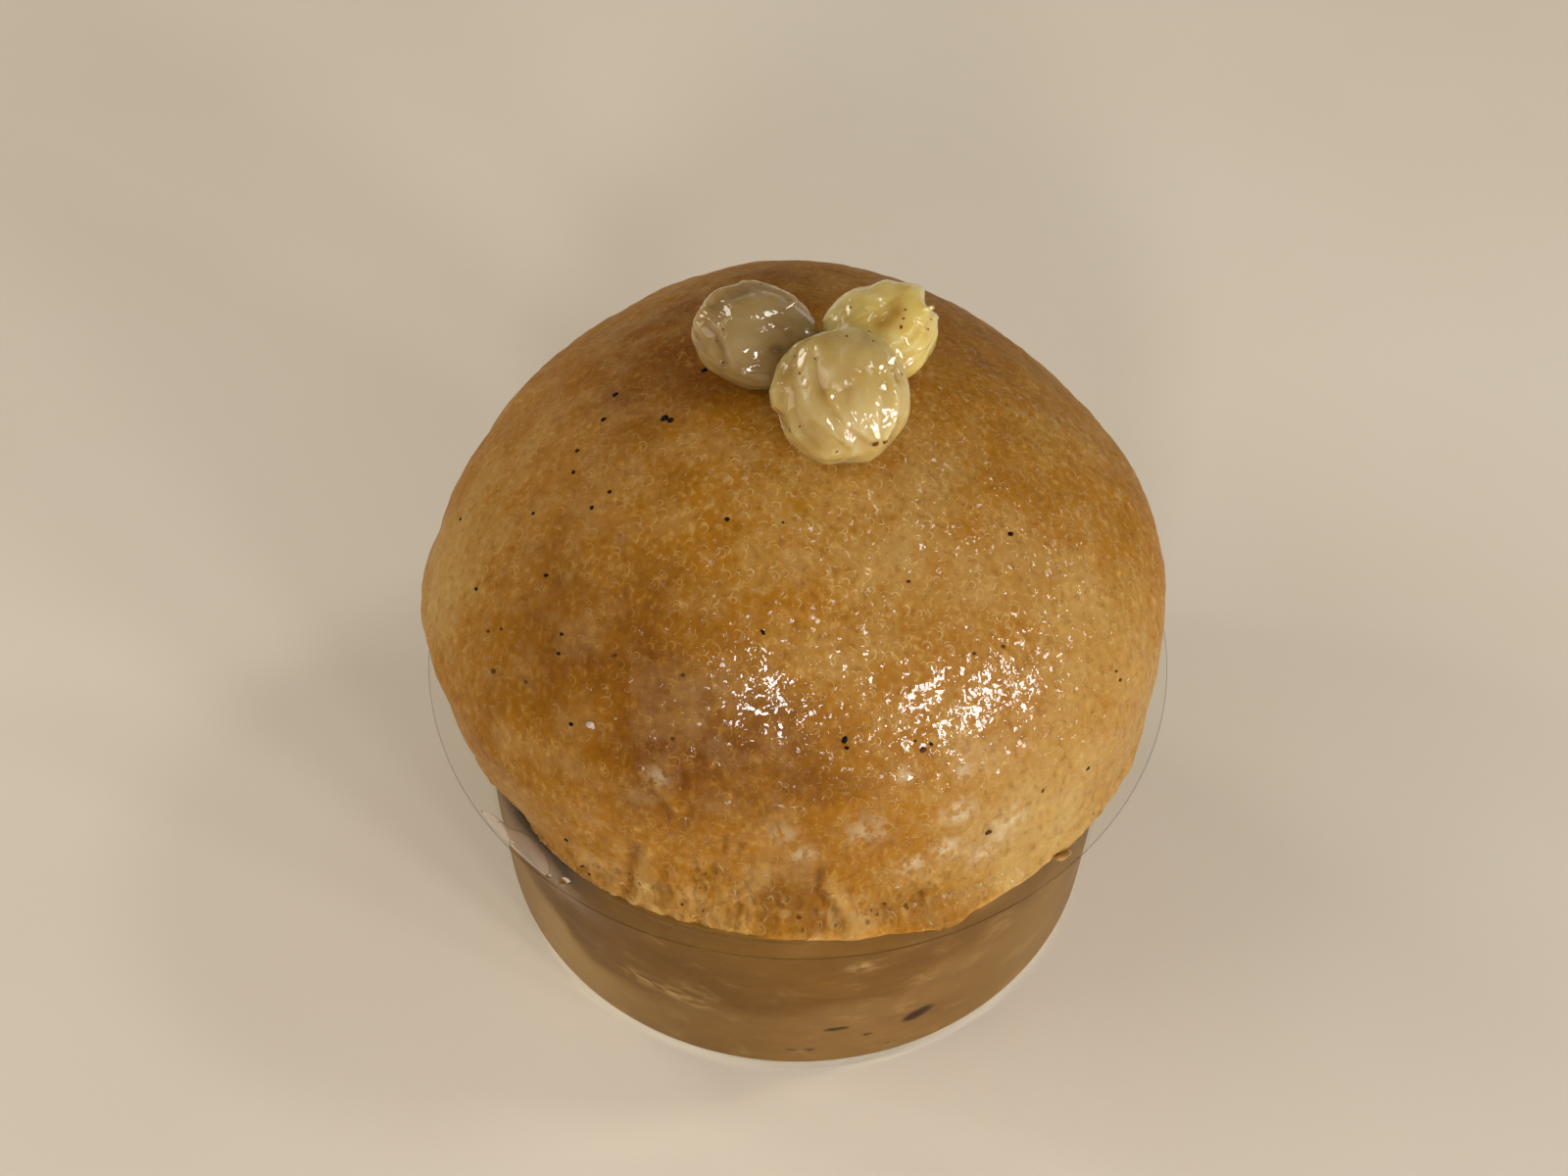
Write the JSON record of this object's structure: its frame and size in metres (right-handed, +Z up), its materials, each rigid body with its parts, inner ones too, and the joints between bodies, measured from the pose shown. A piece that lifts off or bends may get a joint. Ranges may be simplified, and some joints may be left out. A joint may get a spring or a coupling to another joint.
{
  "type": "rum baba",
  "caption": "Syrup-soaked domed yeast cake with plump golden raisins on top, served in its own clear thin cup with a flared collar.",
  "frame": {"origin": "centre of the cup's flat underside, on the surface it stands on", "axes": "+Z up, -Y towards the front that the picture shows, +X to the right"},
  "size_m": [0.085, 0.085, 0.0895],
  "materials": {
    "clear_sheet": "clear thin moulded sheet, glossy",
    "soaked_crust": "finely pored baked crust, wet with syrup",
    "raisin_grey": "translucent wet skin",
    "raisin_yellow": "translucent wet skin",
    "raisin_pale": "translucent wet skin"
  },
  "bodies": {
    "root": {"cup": "clear_sheet", "baba": "soaked_crust", "raisin_left": "raisin_grey", "raisin_right": "raisin_yellow", "raisin_front": "raisin_pale"}
  },
  "joints": []
}
